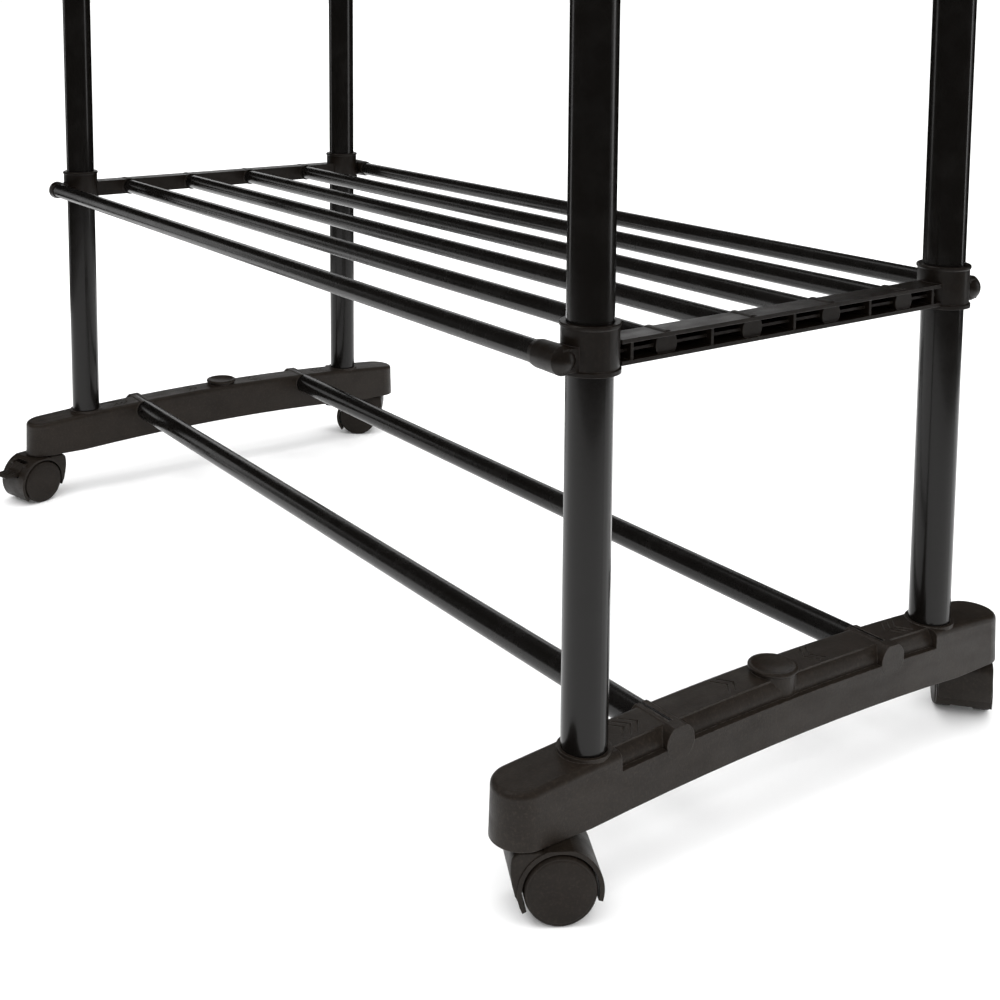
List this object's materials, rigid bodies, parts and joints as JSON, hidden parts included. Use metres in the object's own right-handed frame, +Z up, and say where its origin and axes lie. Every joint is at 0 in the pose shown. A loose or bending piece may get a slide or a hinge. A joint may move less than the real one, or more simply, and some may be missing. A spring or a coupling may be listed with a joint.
{
  "type": "rolling clothes rack",
  "caption": "Rolling clothes rack with moulded feet on twin-wheel casters, a slatted lower shelf and two hanging rails that rise and pull out.",
  "frame": {"origin": "on the floor, midway between the four uprights", "axes": "+X along the rack to the right, +Y to the back, +Z up"},
  "size_m": [0.8017, 0.4536, 1.0705],
  "materials": {
    "enamelled_tube": "gloss black enamel on steel tube",
    "plain_steel": "zinc plated",
    "moulded_foot": "fine moulded texture, warm charcoal",
    "moulded_fitting": "satin black",
    "moulded_caster": "satin charcoal",
    "moulded_wheel": "matte charcoal"
  },
  "bodies": {
    "frame": {"front_lower_rod": "enamelled_tube", "front_shelf_rod": "enamelled_tube", "rear_lower_rod": "enamelled_tube", "rear_shelf_rod": "enamelled_tube", "shelf_inner_rods": "enamelled_tube", "caster_stems": "plain_steel", "left_foot": "moulded_foot", "left_foot_cap": "moulded_foot", "left_shelf_bar": "moulded_fitting", "left_front_lower_tube": "enamelled_tube", "left_front_upper_tube": "enamelled_tube", "left_rear_lower_tube": "enamelled_tube", "left_rear_upper_tube": "enamelled_tube", "right_foot": "moulded_foot", "right_foot_cap": "moulded_foot", "right_shelf_bar": "moulded_fitting", "right_front_lower_tube": "enamelled_tube", "right_front_upper_tube": "enamelled_tube", "right_rear_lower_tube": "enamelled_tube", "right_rear_upper_tube": "enamelled_tube"},
    "front_rail": {"front_hanging_rail": "enamelled_tube", "left_front_inner_tube": "enamelled_tube", "left_front_rail_tee": "moulded_fitting", "right_front_inner_tube": "enamelled_tube", "right_front_rail_tee": "moulded_fitting"},
    "rear_rail": {"rear_hanging_rail": "enamelled_tube", "left_rear_inner_tube": "enamelled_tube", "left_rear_rail_tee": "moulded_fitting", "right_rear_inner_tube": "enamelled_tube", "right_rear_rail_tee": "moulded_fitting"},
    "left_front_lock_nut": {"left_front_lock_nut": "moulded_fitting"},
    "left_front_pull_out": {"left_front_pull_rod": "enamelled_tube", "left_front_pull_cap": "moulded_fitting"},
    "left_front_caster": {"left_front_caster_hood": "moulded_caster", "left_front_caster_axle": "plain_steel"},
    "left_front_near_wheel": {"left_front_near_wheel": "moulded_wheel"},
    "left_front_far_wheel": {"left_front_far_wheel": "moulded_wheel"},
    "left_front_brake": {"left_front_brake_lever": "moulded_caster"},
    "left_rear_lock_nut": {"left_rear_lock_nut": "moulded_fitting"},
    "left_rear_pull_out": {"left_rear_pull_rod": "enamelled_tube", "left_rear_pull_cap": "moulded_fitting"},
    "left_rear_caster": {"left_rear_caster_hood": "moulded_caster", "left_rear_caster_axle": "plain_steel"},
    "left_rear_near_wheel": {"left_rear_near_wheel": "moulded_wheel"},
    "left_rear_far_wheel": {"left_rear_far_wheel": "moulded_wheel"},
    "left_rear_brake": {"left_rear_brake_lever": "moulded_caster"},
    "right_front_lock_nut": {"right_front_lock_nut": "moulded_fitting"},
    "right_front_pull_out": {"right_front_pull_rod": "enamelled_tube", "right_front_pull_cap": "moulded_fitting"},
    "right_front_caster": {"right_front_caster_hood": "moulded_caster", "right_front_caster_axle": "plain_steel"},
    "right_front_near_wheel": {"right_front_near_wheel": "moulded_wheel"},
    "right_front_far_wheel": {"right_front_far_wheel": "moulded_wheel"},
    "right_rear_lock_nut": {"right_rear_lock_nut": "moulded_fitting"},
    "right_rear_pull_out": {"right_rear_pull_rod": "enamelled_tube", "right_rear_pull_cap": "moulded_fitting"},
    "right_rear_caster": {"right_rear_caster_hood": "moulded_caster", "right_rear_caster_axle": "plain_steel"},
    "right_rear_near_wheel": {"right_rear_near_wheel": "moulded_wheel"},
    "right_rear_far_wheel": {"right_rear_far_wheel": "moulded_wheel"}
  },
  "joints": [
    {"name": "front_rail_height", "type": "slide", "parent": "frame", "child": "front_rail", "axis": [0, 0, 1], "range_m": [-0.1, 0.4]},
    {"name": "rear_rail_height", "type": "slide", "parent": "frame", "child": "rear_rail", "axis": [0, 0, 1], "range_m": [-0.1, 0.4]},
    {"name": "left_front_nut_turn", "type": "hinge", "parent": "frame", "child": "left_front_lock_nut", "pos_m": [-0.3646, -0.142, 0.905], "axis": [0, 0, 1], "range_deg": [0, 120]},
    {"name": "left_front_pull", "type": "slide", "parent": "front_rail", "child": "left_front_pull_out", "axis": [-1, 0, 0], "range_m": [0, 0.2]},
    {"name": "left_front_swivel", "type": "hinge", "parent": "frame", "child": "left_front_caster", "pos_m": [-0.3646, -0.181, 0.03], "axis": [0, 0, 1], "continuous": true},
    {"name": "left_front_near_roll", "type": "hinge", "parent": "left_front_caster", "child": "left_front_near_wheel", "pos_m": [-0.36046, -0.19645, 0.019], "axis": [0.9659, 0.2588, 0], "continuous": true},
    {"name": "left_front_far_roll", "type": "hinge", "parent": "left_front_caster", "child": "left_front_far_wheel", "pos_m": [-0.36046, -0.19645, 0.019], "axis": [0.9659, 0.2588, 0], "continuous": true},
    {"name": "left_front_brake_press", "type": "hinge", "parent": "left_front_caster", "child": "left_front_brake", "pos_m": [-0.35699, -0.2094, 0.0354], "axis": [0.9659, 0.2588, 0], "range_deg": [0, 5]},
    {"name": "left_rear_nut_turn", "type": "hinge", "parent": "frame", "child": "left_rear_lock_nut", "pos_m": [-0.3646, 0.142, 0.905], "axis": [0, 0, 1], "range_deg": [0, 120]},
    {"name": "left_rear_pull", "type": "slide", "parent": "rear_rail", "child": "left_rear_pull_out", "axis": [-1, 0, 0], "range_m": [0, 0.2]},
    {"name": "left_rear_swivel", "type": "hinge", "parent": "frame", "child": "left_rear_caster", "pos_m": [-0.3646, 0.181, 0.03], "axis": [0, 0, 1], "continuous": true},
    {"name": "left_rear_near_roll", "type": "hinge", "parent": "left_rear_caster", "child": "left_rear_near_wheel", "pos_m": [-0.374, 0.16806, 0.019], "axis": [0.809, -0.5878, 0], "continuous": true},
    {"name": "left_rear_far_roll", "type": "hinge", "parent": "left_rear_caster", "child": "left_rear_far_wheel", "pos_m": [-0.374, 0.16806, 0.019], "axis": [0.809, -0.5878, 0], "continuous": true},
    {"name": "left_rear_brake_press", "type": "hinge", "parent": "left_rear_caster", "child": "left_rear_brake", "pos_m": [-0.38188, 0.15721, 0.0354], "axis": [0.809, -0.5878, 0], "range_deg": [0, 5]},
    {"name": "right_front_nut_turn", "type": "hinge", "parent": "frame", "child": "right_front_lock_nut", "pos_m": [0.3646, -0.142, 0.905], "axis": [0, 0, 1], "range_deg": [0, 120]},
    {"name": "right_front_pull", "type": "slide", "parent": "front_rail", "child": "right_front_pull_out", "axis": [1, 0, 0], "range_m": [0, 0.2]},
    {"name": "right_front_swivel", "type": "hinge", "parent": "frame", "child": "right_front_caster", "pos_m": [0.3646, -0.181, 0.03], "axis": [0, 0, 1], "continuous": true},
    {"name": "right_front_near_roll", "type": "hinge", "parent": "right_front_caster", "child": "right_front_near_wheel", "pos_m": [0.37223, -0.16694, 0.019], "axis": [-0.8788, 0.4772, 0], "continuous": true},
    {"name": "right_front_far_roll", "type": "hinge", "parent": "right_front_caster", "child": "right_front_far_wheel", "pos_m": [0.37223, -0.16694, 0.019], "axis": [-0.8788, 0.4772, 0], "continuous": true},
    {"name": "right_rear_nut_turn", "type": "hinge", "parent": "frame", "child": "right_rear_lock_nut", "pos_m": [0.3646, 0.142, 0.905], "axis": [0, 0, 1], "range_deg": [0, 120]},
    {"name": "right_rear_pull", "type": "slide", "parent": "rear_rail", "child": "right_rear_pull_out", "axis": [1, 0, 0], "range_m": [0, 0.2]},
    {"name": "right_rear_swivel", "type": "hinge", "parent": "frame", "child": "right_rear_caster", "pos_m": [0.3646, 0.181, 0.03], "axis": [0, 0, 1], "continuous": true},
    {"name": "right_rear_near_roll", "type": "hinge", "parent": "right_rear_caster", "child": "right_rear_near_wheel", "pos_m": [0.35389, 0.19289, 0.019], "axis": [-0.7431, -0.6691, 0], "continuous": true},
    {"name": "right_rear_far_roll", "type": "hinge", "parent": "right_rear_caster", "child": "right_rear_far_wheel", "pos_m": [0.35389, 0.19289, 0.019], "axis": [-0.7431, -0.6691, 0], "continuous": true}
  ]
}
